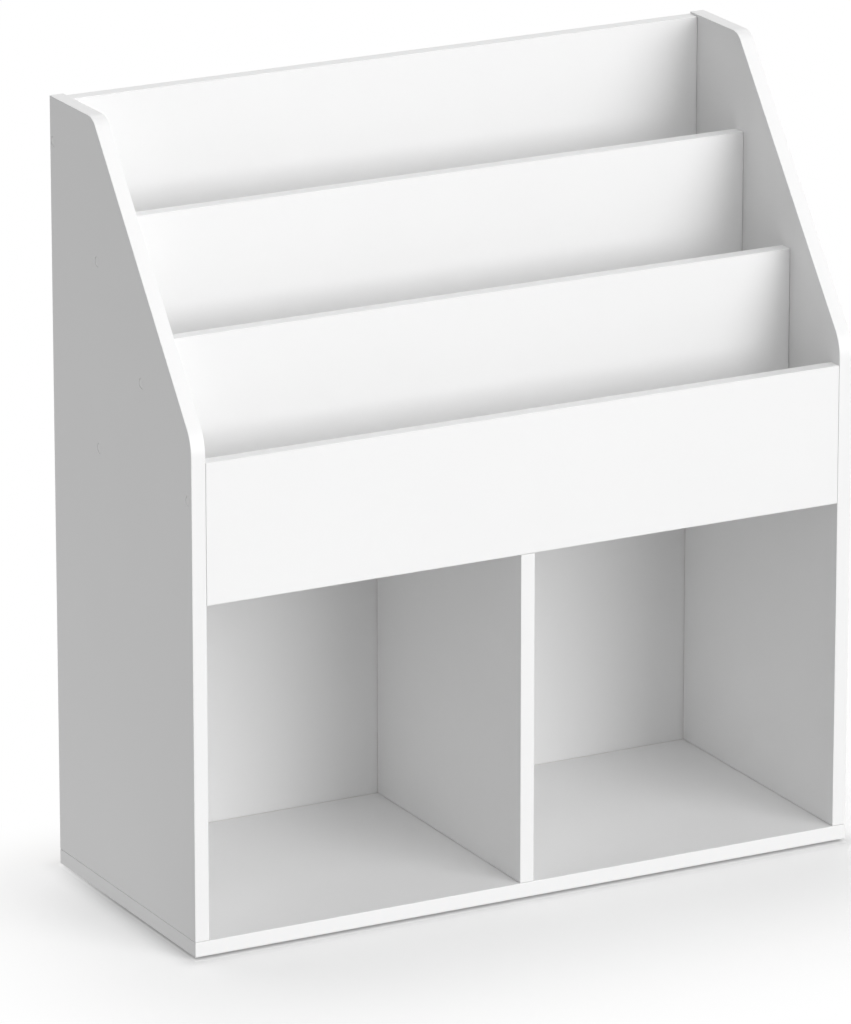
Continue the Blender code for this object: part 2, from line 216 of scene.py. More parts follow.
class ToyUnitBoards(bpy.types.PropertyGroup):
    """Coated boards and their edging."""

    face_colour: bpy.props.FloatVectorProperty(
        name="Face colour",
        description="Colour of the coating on the broad faces",
        subtype="COLOR",
        size=3,
        min=0.0,
        max=1.0,
        default=(0.845, 0.845, 0.845),
    )
    edging_colour: bpy.props.FloatVectorProperty(
        name="Edging colour",
        description="Colour of the plastic edging on the narrow faces",
        subtype="COLOR",
        size=3,
        min=0.0,
        max=1.0,
        default=(0.850, 0.850, 0.850),
    )
    edging_thickness: bpy.props.FloatProperty(
        name="Edging thickness",
        description="Thickness of the edging, which leaves a hairline on the broad faces",
        unit="LENGTH",
        min=0.0002,
        max=0.003,
        default=0.0008,
    )
    core_colour: bpy.props.FloatVectorProperty(
        name="Core colour",
        description="Colour of the bare chipboard on the rear edges",
        subtype="COLOR",
        size=3,
        min=0.0,
        max=1.0,
        default=(0.560, 0.410, 0.245),
    )
    pearl_size: bpy.props.FloatProperty(
        name="Pearl size",
        description="Distance between the soft bumps of the coating",
        unit="LENGTH",
        min=0.0002,
        max=0.01,
        default=0.0013,
    )
    pearl_depth: bpy.props.FloatProperty(
        name="Pearl depth",
        description="Height of the soft bumps of the coating",
        unit="LENGTH",
        min=0.0,
        max=0.001,
        default=0.00004,
    )


class ToyUnitSheet(bpy.types.PropertyGroup):
    """Hardboard sheet behind the compartments and its nails."""

    face_colour: bpy.props.FloatVectorProperty(
        name="Lacquer colour",
        description="Colour of the lacquered front of the sheet",
        subtype="COLOR",
        size=3,
        min=0.0,
        max=1.0,
        default=(0.800, 0.800, 0.800),
    )
    raw_colour: bpy.props.FloatVectorProperty(
        name="Raw colour",
        description="Colour of the bare fibres on the rear and the edges of the sheet",
        subtype="COLOR",
        size=3,
        min=0.0,
        max=1.0,
        default=(0.245, 0.135, 0.066),
    )
    nail_spacing: bpy.props.FloatProperty(
        name="Nail spacing",
        description="Longest distance between two nails along an edge",
        unit="LENGTH",
        min=0.03,
        max=0.5,
        default=0.125,
    )


class ToyUnitFittings(bpy.types.PropertyGroup):
    """Screws, caps, dowels and glides."""

    cap_colour: bpy.props.FloatVectorProperty(
        name="Cap colour",
        description="Colour of the plastic caps over the screws",
        subtype="COLOR",
        size=3,
        min=0.0,
        max=1.0,
        default=(0.840, 0.840, 0.840),
    )
    steel_colour: bpy.props.FloatVectorProperty(
        name="Steel colour",
        description="Colour of the zinc on the screws and nails",
        subtype="COLOR",
        size=3,
        min=0.0,
        max=1.0,
        default=(0.700, 0.705, 0.700),
    )
    wood_colour: bpy.props.FloatVectorProperty(
        name="Dowel colour",
        description="Colour of the beech of the dowels",
        subtype="COLOR",
        size=3,
        min=0.0,
        max=1.0,
        default=(0.560, 0.365, 0.205),
    )
    glide_colour: bpy.props.FloatVectorProperty(
        name="Glide colour",
        description="Colour of the plastic glides under the base",
        subtype="COLOR",
        size=3,
        min=0.0,
        max=1.0,
        default=(0.520, 0.520, 0.530),
    )
    thread_pitch: bpy.props.FloatProperty(
        name="Thread pitch",
        description="Rise of the screw thread in one turn",
        unit="LENGTH",
        min=0.001,
        max=0.01,
        default=THREAD_PITCH,
    )
    thread_depth: bpy.props.FloatProperty(
        name="Thread depth",
        description="How far the thread stands out of the shank",
        unit="LENGTH",
        min=0.00005,
        max=0.00022,
        default=THREAD_DEPTH,
    )
    flute_count: bpy.props.IntProperty(
        name="Flutes",
        description="Number of glue flutes round a dowel",
        min=6,
        max=24,
        default=FLUTES,
    )
    flute_depth: bpy.props.FloatProperty(
        name="Flute depth",
        description="Depth of the glue flutes of a dowel",
        unit="LENGTH",
        min=0.0,
        max=0.001,
        default=FLUTE_DEPTH,
    )


class ToyUnitStage(bpy.types.PropertyGroup):
    """Floor, light and camera."""

    floor_colour: bpy.props.FloatVectorProperty(
        name="Floor colour",
        description="Colour of the studio floor as the camera sees it",
        subtype="COLOR",
        size=3,
        min=0.0,
        max=1.0,
        default=(0.92, 0.92, 0.92),
    )
    floor_bounce: bpy.props.FloatProperty(
        name="Floor bounce",
        description="Strength of the light that the floor throws back on the unit",
        min=0.0,
        max=2.0,
        default=0.53,
    )
    side_bounce: bpy.props.FloatProperty(
        name="Side bounce",
        description="Strength of the light from the floor close beside the unit",
        min=0.0,
        max=2.0,
        default=0.66,
    )
    floor_lift: bpy.props.FloatProperty(
        name="Floor lift",
        description="Share of white that the camera sees on the shaded floor besides its own light",
        min=0.0,
        max=1.0,
        default=0.15,
    )
    contact_lift: bpy.props.FloatProperty(
        name="Contact lift",
        description="Share of white that the camera sees on the floor in the gap under the base",
        min=0.0,
        max=1.0,
        default=0.17,
    )
    shade_reach: bpy.props.FloatVectorProperty(
        name="Shade reach",
        description="Reach of the floor's shade: beside the unit, before it and behind its middle",
        subtype="XYZ",
        unit="LENGTH",
        size=3,
        min=0.01,
        default=(0.26, 0.40, 0.28),
    )
    ambient: bpy.props.FloatProperty(
        name="Ambient light",
        description="Strength of the even light from all round",
        min=0.0,
        max=2.0,
        default=0.295,
    )
    key_angles: bpy.props.FloatVectorProperty(
        name="Key angles",
        description="Main light: turn to the right of the front, height above the floor, width",
        subtype="EULER",
        size=3,
        default=(math.radians(25.0), math.radians(5.0), math.radians(40.0)),
    )
    key_strength: bpy.props.FloatProperty(
        name="Key strength",
        description="Strength of the main light",
        min=0.0,
        max=10.0,
        default=1.88,
    )
    side_angles: bpy.props.FloatVectorProperty(
        name="Side fill angles",
        description="Light from the right: turn to the right of the front, height above the floor, width",
        subtype="EULER",
        size=3,
        default=(math.radians(45.0), math.radians(25.0), math.radians(60.0)),
    )
    side_strength: bpy.props.FloatProperty(
        name="Side fill strength",
        description="Strength of the light from the right",
        min=0.0,
        max=10.0,
        default=0.36,
    )
    front_angles: bpy.props.FloatVectorProperty(
        name="Front fill angles",
        description="High light in front: turn to the right of the front, height above the floor, width",
        subtype="EULER",
        size=3,
        default=(0.0, math.radians(45.0), math.radians(60.0)),
    )
    front_strength: bpy.props.FloatProperty(
        name="Front fill strength",
        description="Strength of the high light in front",
        min=0.0,
        max=10.0,
        default=0.95,
    )
    rear_angles: bpy.props.FloatVectorProperty(
        name="Rear fill angles",
        description="High light behind: turn to the right of the front, height above the floor, width",
        subtype="EULER",
        size=3,
        default=(math.radians(180.0), math.radians(50.0), math.radians(60.0)),
    )
    rear_strength: bpy.props.FloatProperty(
        name="Rear fill strength",
        description="Strength of the high light behind",
        min=0.0,
        max=10.0,
        default=0.80,
    )
    camera_turn: bpy.props.FloatProperty(
        name="Camera turn",
        description="How far the camera stands to the left of the front",
        subtype="ANGLE",
        default=math.radians(27.889),
    )
    camera_height: bpy.props.FloatProperty(
        name="Camera height",
        description="Angle of the camera above the point it looks at",
        subtype="ANGLE",
        default=math.radians(17.540),
    )
    camera_distance: bpy.props.FloatProperty(
        name="Camera distance",
        description="Distance of the camera from the point it looks at",
        unit="LENGTH",
        default=7.9977,
    )
    camera_aim: bpy.props.FloatVectorProperty(
        name="Camera aim",
        description="Point that the camera looks at",
        subtype="XYZ",
        unit="LENGTH",
        size=3,
        default=(-0.0314, 0.0, 0.3588),
    )
    camera_lens: bpy.props.FloatProperty(
        name="Lens",
        description="Focal length in millimetres on a sensor 36 mm along the long side",
        min=10.0,
        max=1000.0,
        default=288.41,
    )


class Wiring:
    """Adds nodes to one tree, feeds their inputs and hands back the output that is wanted."""

    def __init__(self, tree):
        self.tree = tree

    def feed(self, socket, value):
        """Links an output to the socket, or sets a plain value on it."""
        if isinstance(value, bpy.types.NodeSocket):
            self.tree.links.new(value, socket)
        else:
            socket.default_value = value

    def node(self, kind, inputs=None, **settings):
        node = self.tree.nodes.new(kind)
        for key, value in settings.items():
            setattr(node, key, value)
        for key, value in (inputs or {}).items():
            self.feed(node.inputs[key], value)
        return node

    def maths(self, operation, *terms):
        node = self.node("ShaderNodeMath", operation=operation)
        for socket, term in zip(node.inputs, terms):
            self.feed(socket, term)
        return node.outputs[0]

    def parts(self, vector):
        return self.node("ShaderNodeSeparateXYZ", {"Vector": vector}).outputs

    def noise(self, place, scale, detail):
        inputs = {"Vector": place, "Scale": scale, "Detail": detail}
        return self.node("ShaderNodeTexNoise", inputs).outputs["Fac"]

    def stretched(self, place, scale):
        return self.node("ShaderNodeMapping", {"Vector": place, "Scale": scale}).outputs["Vector"]

    def between(self, factor, low, high):
        """Stretches a factor of 0 to 1 to the span from low to high, and never goes past it."""
        inputs = {"Value": factor, "To Min": low, "To Max": high}
        return self.node("ShaderNodeMapRange", inputs).outputs["Result"]

    def fade(self, distance, span):
        """0 up to the start of the span, 1 from its end on, with a soft rise between them."""
        inputs = {"Value": distance, "From Min": span[LOW], "From Max": span[HIGH]}
        rise = self.node("ShaderNodeMapRange", inputs, interpolation_type="SMOOTHSTEP")
        return rise.outputs["Result"]

    def mixed(self, factor, first, second, blend="MIX"):
        node = self.node("ShaderNodeMix", data_type="RGBA", blend_type=blend)
        sockets = {socket.identifier: socket for socket in node.inputs}
        self.feed(sockets["Factor_Float"], factor)
        self.feed(sockets["A_Color"], first)
        self.feed(sockets["B_Color"], second)
        return next(socket for socket in node.outputs if socket.identifier == "Result_Color")

    def bump(self, height, depth):
        inputs = {"Height": height, "Distance": depth}
        return self.node("ShaderNodeBump", inputs).outputs["Normal"]


def opaque(colour, factor=1.0):
    """A colour with full alpha, darker or lighter by the factor."""
    return (*(channel * factor for channel in colour), 1.0)


def new_finish(name):
    """An empty material with its wiring and its main shader."""
    material = bpy.data.materials.new(name)
    material.use_nodes = True
    wiring = Wiring(material.node_tree)
    shader = material.node_tree.nodes["Principled BSDF"]
    return material, wiring, shader


def dress(node_name, material):
    """Gives a node of the frame its finish and leaves its shape alone."""
    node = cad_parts[node_name]
    for slot in node.material_slots:
        slot.material = material


def thin_axis(node_name):
    """The axis along which a board is thinnest."""
    low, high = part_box(node_name)
    extents = [high[axis] - low[axis] for axis in (X, Y, Z)]
    return extents.index(min(extents))


def inset_from_ends(wiring, coordinates, node_name, edged_ends):
    """How far a point lies inside the nearest edged end of a square board."""
    low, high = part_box(node_name)
    nearest = None
    for axis, end in edged_ends:
        if end == LOW:
            inset = wiring.maths("SUBTRACT", coordinates[axis], low[axis])
        else:
            inset = wiring.maths("SUBTRACT", high[axis], coordinates[axis])
        nearest = inset if nearest is None else wiring.maths("MINIMUM", nearest, inset)
    return nearest


def corner_blend(radius, first, second):
    """Width of the smooth blend of two distances that follows an arc between two straight edges."""
    return SMOOTH_MAX_DIVISOR * radius * (1.0 - math.cos(first.angle(second) / 2))


def inset_from_slope(wiring, coordinates, node_name):
    """How far a point lies inside the front edge, slope and top of a side, round its two arcs."""
    low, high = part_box(node_name)
    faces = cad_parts[node_name].data.polygons
    leaning = [face for face in faces if face.normal.y < -LEANING and face.normal.z > LEANING]
    slope = max(leaning, key=lambda face: face.area)
    forward, upward = Vector((0.0, -1.0, 0.0)), Vector((0.0, 0.0, 1.0))
    front = wiring.maths("SUBTRACT", low[Y], coordinates[Y])
    top = wiring.maths("SUBTRACT", coordinates[Z], high[Z])
    lean = wiring.maths("MULTIPLY", coordinates[Y], slope.normal.y)
    lean = wiring.maths("MULTIPLY_ADD", coordinates[Z], slope.normal.z, lean)
    lean = wiring.maths("SUBTRACT", lean, slope.normal.dot(slope.center))
    blend = corner_blend(SIDE_FRONT_RADIUS, forward, slope.normal)
    outside = wiring.maths("SMOOTH_MAX", front, lean, blend)
    blend = corner_blend(SIDE_TOP_RADIUS, slope.normal, upward)
    outside = wiring.maths("SMOOTH_MAX", outside, top, blend)
    return wiring.maths("MULTIPLY", outside, -1.0)


def chipboard_colour(wiring, place, colour):
    """Pressed wood chips, pale and dark, as a sawn edge shows them."""
    chips = wiring.node(
        "ShaderNodeTexVoronoi", {"Vector": wiring.stretched(place, (1.0, 1.0, 2.2)), "Scale": 420.0}
    )
    chip_tone = wiring.parts(chips.outputs["Color"])[X]
    dust = wiring.noise(place, scale=1500.0, detail=3.0)
    wood = wiring.mixed(chip_tone, opaque(colour, 0.72), opaque(colour, 1.22))
    return wiring.mixed(wiring.between(dust, 0.0, 0.45), wood, opaque(colour, 0.60))


def board_finish(node_name, edged_ends, settings):
    """Pearl-coated board, with smoother edging and the hairline where it meets the face."""
    material, wiring, shader = new_finish("coated_" + node_name)
    place = wiring.node("ShaderNodeTexCoord").outputs["Object"]
    facing = wiring.parts(wiring.node("ShaderNodeNewGeometry").outputs["True Normal"])
    along_thickness = wiring.maths("ABSOLUTE", facing[thin_axis(node_name)])
    edge = wiring.maths("LESS_THAN", along_thickness, FACING)
    raw = wiring.maths("MULTIPLY", edge, wiring.maths("GREATER_THAN", facing[Y], FACING))

    coordinates = wiring.parts(place)
    if node_name in SIDES:
        inset = inset_from_slope(wiring, coordinates, node_name)
    else:
        inset = inset_from_ends(wiring, coordinates, node_name, edged_ends)
    line = wiring.maths("COMPARE", inset, settings.edging_thickness, HAIRLINE_HALF_WIDTH)
    hairline = wiring.maths("MULTIPLY", line, wiring.maths("SUBTRACT", 1.0, edge))

    cloud = wiring.noise(place, scale=7.0, detail=3.0)
    face = wiring.mixed(cloud, opaque(settings.face_colour, 0.985), opaque(settings.face_colour, 1.015))
    white = wiring.mixed(edge, face, opaque(settings.edging_colour))
    lined = wiring.mixed(hairline, white, opaque(settings.edging_colour, 0.72))
    core = chipboard_colour(wiring, place, settings.core_colour)
    wiring.feed(shader.inputs["Base Color"], wiring.mixed(raw, lined, core))

    pearl = wiring.noise(place, scale=1.0 / settings.pearl_size, detail=1.5)
    height = wiring.maths("MULTIPLY", pearl, wiring.between(edge, 1.0, 0.25))
    chips = wiring.maths("MULTIPLY", raw, wiring.maths("MULTIPLY", pearl, CHIP_RELIEF))
    height = wiring.maths("ADD", height, chips)
    wiring.feed(shader.inputs["Normal"], wiring.bump(height, settings.pearl_depth))
    satin = wiring.maths("SUBTRACT", wiring.between(pearl, 0.40, 0.52), wiring.between(edge, 0.0, 0.10))
    roughness = wiring.maths("MAXIMUM", satin, wiring.between(raw, 0.0, 0.85))
    wiring.feed(shader.inputs["Roughness"], roughness)
    shader.inputs["Specular IOR Level"].default_value = SATIN_SPECULAR
    return material


def sheet_finish(settings):
    """Hardboard: lacquered white in front, bare brown fibres on the rear and the edges."""
    material, wiring, shader = new_finish("hardboard_sheet")
    place = wiring.node("ShaderNodeTexCoord").outputs["Object"]
    facing = wiring.parts(wiring.node("ShaderNodeNewGeometry").outputs["True Normal"])
    lacquered = wiring.maths("LESS_THAN", facing[Y], -FACING)

    fibre = wiring.noise(wiring.stretched(place, (1.0, 1.0, 0.35)), scale=420.0, detail=4.0)
    fleck = wiring.noise(place, scale=60.0, detail=3.0)
    raw = wiring.mixed(fibre, opaque(settings.raw_colour, 0.70), opaque(settings.raw_colour, 1.25))
    flecked = wiring.mixed(wiring.between(fleck, 0.0, 0.35), raw, opaque(settings.raw_colour, 0.55))
    cloud = wiring.noise(place, scale=9.0, detail=3.0)
    lacquer = wiring.mixed(cloud, opaque(settings.face_colour, 0.985), opaque(settings.face_colour))
    wiring.feed(shader.inputs["Base Color"], wiring.mixed(lacquered, flecked, lacquer))

    grain = wiring.noise(place, scale=900.0, detail=2.0)
    height = wiring.maths("MULTIPLY", grain, wiring.between(lacquered, 1.0, 0.4))
    wiring.feed(shader.inputs["Normal"], wiring.bump(height, depth=0.00005))
    wiring.feed(shader.inputs["Roughness"], wiring.between(lacquered, 0.78, 0.48))
    shader.inputs["Specular IOR Level"].default_value = SATIN_SPECULAR
    return material


def plastic_finish(name, colour, roughness):
    """Moulded plastic with a fine spark-eroded skin and faint flow clouds."""
    material, wiring, shader = new_finish(name)
    place = wiring.node("ShaderNodeTexCoord").outputs["Object"]
    flow = wiring.noise(place, scale=160.0, detail=2.0)
    wiring.feed(shader.inputs["Base Color"], wiring.mixed(flow, opaque(colour, 0.96), opaque(colour)))
    skin = wiring.noise(place, scale=2600.0, detail=1.0)
    wiring.feed(shader.inputs["Normal"], wiring.bump(skin, depth=0.00002))
    satin = wiring.between(skin, roughness - PLASTIC_SPREAD, roughness + PLASTIC_SPREAD)
    wiring.feed(shader.inputs["Roughness"], satin)
    return material


def steel_finish(settings):
    """Zinc-plated steel with a mottled, slightly streaked shine."""
    material, wiring, shader = new_finish(STEEL)
    place = wiring.node("ShaderNodeTexCoord").outputs["Object"]
    mottle = wiring.noise(place, scale=700.0, detail=3.0)
    streak = wiring.noise(wiring.stretched(place, (0.15, 1.0, 1.0)), scale=2400.0, detail=1.0)
    dull = opaque(settings.steel_colour, 0.82)
    wiring.feed(shader.inputs["Base Color"], wiring.mixed(mottle, dull, opaque(settings.steel_colour)))
    wiring.feed(shader.inputs["Roughness"], wiring.between(mottle, 0.24, 0.42))
    wiring.feed(shader.inputs["Normal"], wiring.bump(streak, depth=0.00001))
    shader.inputs["Metallic"].default_value = 1.0
    return material


def beech_finish(settings):
    """Beech turned along the grain, with the short dark flecks of the wood."""
    material, wiring, shader = new_finish("beech_dowel")
    grain = wiring.node("ShaderNodeAttribute", attribute_name="grain").outputs["Vector"]
    growth = wiring.noise(wiring.stretched(grain, (1.0, 1.0, 0.04)), scale=900.0, detail=3.0)
    fleck = wiring.noise(wiring.stretched(grain, (1.0, 1.0, 0.18)), scale=2600.0, detail=1.0)
    fleck = wiring.maths("GREATER_THAN", fleck, FLECK_THRESHOLD)
    wood = wiring.mixed(growth, opaque(settings.wood_colour, 0.78), opaque(settings.wood_colour, 1.12))
    dark = opaque(settings.wood_colour, 0.55)
    flecked = wiring.mixed(wiring.maths("MULTIPLY", fleck, FLECK_STRENGTH), wood, dark)
    wiring.feed(shader.inputs["Base Color"], flecked)
    wiring.feed(shader.inputs["Normal"], wiring.bump(growth, depth=0.00005))
    wiring.feed(shader.inputs["Roughness"], wiring.between(growth, 0.55, 0.70))
    return material


def new_tree(name, inputs):
    """A node tree that takes places and a finish, with one more named input for each size."""
    tree = bpy.data.node_groups.new(name, "GeometryNodeTree")
    add = tree.interface.new_socket
    add(name="Geometry", in_out="INPUT", socket_type="NodeSocketGeometry")
    for label, (kind, default) in inputs.items():
        add(name=label, in_out="INPUT", socket_type=kind).default_value = default
    add(name="Finish", in_out="INPUT", socket_type="NodeSocketMaterial")
    add(name="Geometry", in_out="OUTPUT", socket_type="NodeSocketGeometry")
    wiring = Wiring(tree)
    return wiring, wiring.node("NodeGroupInput").outputs, wiring.node("NodeGroupOutput").inputs


def repeat(wiring, sizes, result, piece):
    """Stands the piece on every place, along the axis kept with it, and gives it its finish."""
    axis = wiring.node("GeometryNodeInputNamedAttribute", {"Name": "axis"}, data_type="FLOAT_VECTOR")
    turn = wiring.node(
        "FunctionNodeAlignRotationToVector", {"Vector": axis.outputs["Attribute"]}, axis="Z"
    )
    points = wiring.node("GeometryNodeMeshToPoints", {"Mesh": sizes["Geometry"]})
    copies = wiring.node(
        "GeometryNodeInstanceOnPoints",
        {"Points": points.outputs[0], "Instance": piece, "Rotation": turn.outputs[0]},
    )
    solid = wiring.node("GeometryNodeRealizeInstances", {"Geometry": copies.outputs[0]})
    finished = wiring.node(
        "GeometryNodeSetMaterial", {"Geometry": solid.outputs[0], "Material": sizes["Finish"]}
    )
    wiring.feed(result["Geometry"], finished.outputs[0])


def smoothed(wiring, geometry):
    """Smooth shading that breaks at the sharp edges."""
    soft = wiring.node("GeometryNodeSetShadeSmooth", {"Geometry": geometry})
    angle = wiring.node("GeometryNodeInputMeshEdgeAngle").outputs["Unsigned Angle"]
    sharp = wiring.maths("GREATER_THAN", angle, SMOOTH_ANGLE)
    broken = wiring.node(
        "GeometryNodeSetShadeSmooth",
        {"Geometry": soft.outputs[0], "Selection": sharp, "Shade Smooth": False},
        domain="EDGE",
    )
    return broken.outputs[0]


def outline_curve(wiring, along, values):
    """One straight-sided curve through evenly spaced values between 0 and 1."""
    node = wiring.node("ShaderNodeFloatCurve", {"Value": along})
    points = node.mapping.curves[0].points
    steps = len(values) - 1
    points[0].location = (0.0, values[0])
    points[1].location = (1.0, values[-1])
    for step in range(1, steps):
        points.new(step / steps, values[step])
    for point in points:
        point.handle_type = "VECTOR"
    node.mapping.update()
    return node.outputs[0]


def turned_tree(name, outline, fluted=False):
    """A tree that turns an outline round its axis and repeats it; a fluted one is grooved lengthwise."""
    widest = max(reach for reach, height in outline)
    lowest = min(height for reach, height in outline)
    tallest = max(height for reach, height in outline) - lowest
    inputs = {
        "Radius": ("NodeSocketFloat", widest),
        "Height": ("NodeSocketFloat", tallest),
        "Start": ("NodeSocketFloat", lowest),
        "Turn Steps": ("NodeSocketInt", TURN_STEPS),
    }
    if fluted:
        inputs["Flutes"] = ("NodeSocketInt", FLUTES)
        inputs["Flute Depth"] = ("NodeSocketFloat", FLUTE_DEPTH)
    wiring, sizes, result = new_tree(name, inputs)

    rings = wiring.maths("ADD", sizes["Turn Steps"], 1.0)
    grid = wiring.node(
        "GeometryNodeMeshGrid",
        {"Size X": 1.0, "Size Y": 1.0, "Vertices X": len(outline), "Vertices Y": rings},
    )
    # The grid lies round the origin, so half its size brings it to 0 to 1.
    flat = wiring.parts(wiring.node("GeometryNodeInputPosition").outputs[0])
    along = wiring.maths("ADD", flat["X"], 0.5)
    turn = wiring.maths("MULTIPLY", wiring.maths("SUBTRACT", 0.5, flat["Y"]), math.tau)
    reaches = [reach / widest for reach, height in outline]
    rises = [(height - lowest) / tallest for reach, height in outline]
    radius = wiring.maths("MULTIPLY", outline_curve(wiring, along, reaches), sizes["Radius"])
    if fluted:
        wave = wiring.maths("COSINE", wiring.maths("MULTIPLY", turn, sizes["Flutes"]))
        depth = wiring.maths("MULTIPLY", wiring.between(wave, 0.0, 1.0), sizes["Flute Depth"])
        inside = wiring.maths("SUBTRACT", radius, depth)
        radius = wiring.maths("MAXIMUM", inside, 0.0)
    lift = wiring.maths("MULTIPLY", outline_curve(wiring, along, rises), sizes["Height"])
    place = wiring.node(
        "ShaderNodeCombineXYZ",
        {
            "X": wiring.maths("MULTIPLY", radius, wiring.maths("COSINE", turn)),
            "Y": wiring.maths("MULTIPLY", radius, wiring.maths("SINE", turn)),
            "Z": wiring.maths("ADD", lift, sizes["Start"]),
        },
    )
    bent = wiring.node(
        "GeometryNodeSetPosition", {"Geometry": grid.outputs["Mesh"], "Position": place.outputs[0]}
    )
    closed = wiring.node(
        "GeometryNodeMergeByDistance", {"Geometry": bent.outputs[0], "Distance": MERGE_DISTANCE}
    )
    own_place = wiring.node("GeometryNodeInputPosition").outputs[0]
    grained = wiring.node(
        "GeometryNodeStoreNamedAttribute",
        {"Geometry": closed.outputs[0], "Name": "grain", "Value": own_place},
        data_type="FLOAT_VECTOR",
    )
    repeat(wiring, sizes, result, smoothed(wiring, grained.outputs[0]))
    return wiring.tree


def thread_tree():
    """A tree that winds a ridge along a spiral, from the tip of each screw towards its head."""
    inputs = {
        "Radius": ("NodeSocketFloat", SHANK_RADIUS),
        "Length": ("NodeSocketFloat", THREAD_LENGTH),
        "Pitch": ("NodeSocketFloat", THREAD_PITCH),
        "Depth": ("NodeSocketFloat", THREAD_DEPTH),
        "Turn Steps": ("NodeSocketInt", THREAD_TURN_STEPS),
    }
    wiring, sizes, result = new_tree("screw_thread", inputs)
    spiral = wiring.node(
        "GeometryNodeCurveSpiral",
        {
            "Resolution": sizes["Turn Steps"],
            "Rotations": wiring.maths("DIVIDE", sizes["Length"], sizes["Pitch"]),
            "Start Radius": sizes["Radius"],
            "End Radius": sizes["Radius"],
            "Height": sizes["Length"],
        },
    )
    section = wiring.node(
        "GeometryNodeCurvePrimitiveCircle", {"Resolution": THREAD_SIDES, "Radius": sizes["Depth"]}
    )
    ridge = wiring.node(
        "GeometryNodeCurveToMesh",
        {"Curve": spiral.outputs[0], "Profile Curve": section.outputs["Curve"], "Fill Caps": True},
    )
    repeat(wiring, sizes, result, ridge.outputs[0])
    return wiring.tree


def grown(name, tree, places, values):
    """Runs a tree on places with their axes and keeps the result as a plain mesh object."""
    seeds = bpy.data.meshes.new(name + "_places")
    seeds.from_pydata([place for place, axis in places], [], [])
    axes = seeds.attributes.new("axis", "FLOAT_VECTOR", "POINT")
    axes.data.foreach_set("vector", [part for place, axis in places for part in axis])
    carrier = bpy.data.objects.new(name + "_carrier", seeds)
    modifier = carrier.modifiers.new("Repeat", "NODES")
    modifier.node_group = tree
    for item in tree.interface.items_tree:
        if item.in_out == "INPUT" and item.name in values:
            modifier[item.identifier] = values[item.name]
    bpy.context.scene.collection.objects.link(carrier)
    graph = bpy.context.evaluated_depsgraph_get()
    mesh = bpy.data.meshes.new_from_object(carrier.evaluated_get(graph))
    bpy.data.objects.remove(carrier, do_unlink=True)
    bpy.data.meshes.remove(seeds)
    if not mesh.polygons:
        raise RuntimeError(name + " came out of its tree empty")
    if mesh.materials[0] is None:
        mesh.materials.pop(index=0)
    mesh.name = name
    piece = bpy.data.objects.new(name, mesh)
    bpy.context.scene.collection.objects.link(piece)
    return piece


def attach(piece, replaced=()):
    """Ties a finished piece to the frame."""
    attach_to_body(piece, BODY)
    if replaced:
        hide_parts(*replaced)


def middle(node_name):
    """The centre of a node's box."""
    low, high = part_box(node_name)
    return (Vector(low) + Vector(high)) / 2


def outward(node_name):
    """Which way a side's fitting faces: left is -X, right is +X."""
    return -1.0 if node_name.startswith("left") else 1.0


def evenly(start, end, longest):
    """Positions from start to end, no further apart than the longest spacing."""
    gaps = max(1, math.ceil((end - start) / longest))
    return [start + (end - start) * step / gaps for step in range(gaps + 1)]


class TOYUNIT_OT_dress_boards(bpy.types.Operator):
    """Give every board its coating and edging"""

    bl_idname = "toy_unit.dress_boards"
    bl_label = "Dress Boards"

    def execute(self, context):
        settings = context.scene.toy_unit_boards
        for node_name in SIDES:
            dress(node_name, board_finish(node_name, (), settings))
        for node_name, edged_ends in BOARDS.items():
            dress(node_name, board_finish(node_name, edged_ends, settings))
        return {"FINISHED"}


class TOYUNIT_OT_dress_back_sheet(bpy.types.Operator):
    """Give the hardboard sheet its lacquered front and raw rear"""

    bl_idname = "toy_unit.dress_back_sheet"
    bl_label = "Dress Back Sheet"

    def execute(self, context):
        dress(SHEET, sheet_finish(context.scene.toy_unit_sheet))
        return {"FINISHED"}


class TOYUNIT_OT_make_screw_caps(bpy.types.Operator):
    """Press a domed cap over every screw in the sides"""

    bl_idname = "toy_unit.make_screw_caps"
    bl_label = "Make Screw Caps"

    def execute(self, context):
        settings = context.scene.toy_unit_fittings
        places = []
        for node_name in CAPS:
            way = outward(node_name)
            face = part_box(node_name)[HIGH if way > 0.0 else LOW][X]
            centre = middle(node_name)
            places.append(((face, centre.y, centre.z), (way, 0.0, 0.0)))
        finish = plastic_finish("cap_plastic", settings.cap_colour, roughness=0.38)
        tree = turned_tree("domed_cap", CAP_OUTLINE)
        attach(grown("screw_caps", tree, places, {"Finish": finish}), CAPS)
        return {"FINISHED"}


class TOYUNIT_OT_make_screws(bpy.types.Operator):
    """Plate every screw and wind its thread"""

    bl_idname = "toy_unit.make_screws"
    bl_label = "Make Screws"

    def execute(self, context):
        settings = context.scene.toy_unit_fittings
        finish = steel_finish(settings)
        # All screws are alike, so the first one gives the length of every thread.
        low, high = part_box(SCREWS[0])
        length = max(high[axis] - low[axis] for axis in (X, Y, Z))
        places = []
        for node_name in SCREWS:
            dress(node_name, finish)
            low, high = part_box(node_name)
            centre = middle(node_name)
            if node_name.endswith("base_screw"):
                places.append(((centre.x, centre.y, high[Z] - THREAD_END), (0.0, 0.0, -1.0)))
            else:
                way = outward(node_name)
                tip = low[X] if way > 0.0 else high[X]
                places.append(((tip + way * THREAD_END, centre.y, centre.z), (way, 0.0, 0.0)))
        values = {
            "Length": length - THREAD_START - THREAD_END,
            "Pitch": settings.thread_pitch,
            "Depth": settings.thread_depth,
            "Finish": finish,
        }
        attach(grown("screw_threads", thread_tree(), places, values))
        return {"FINISHED"}


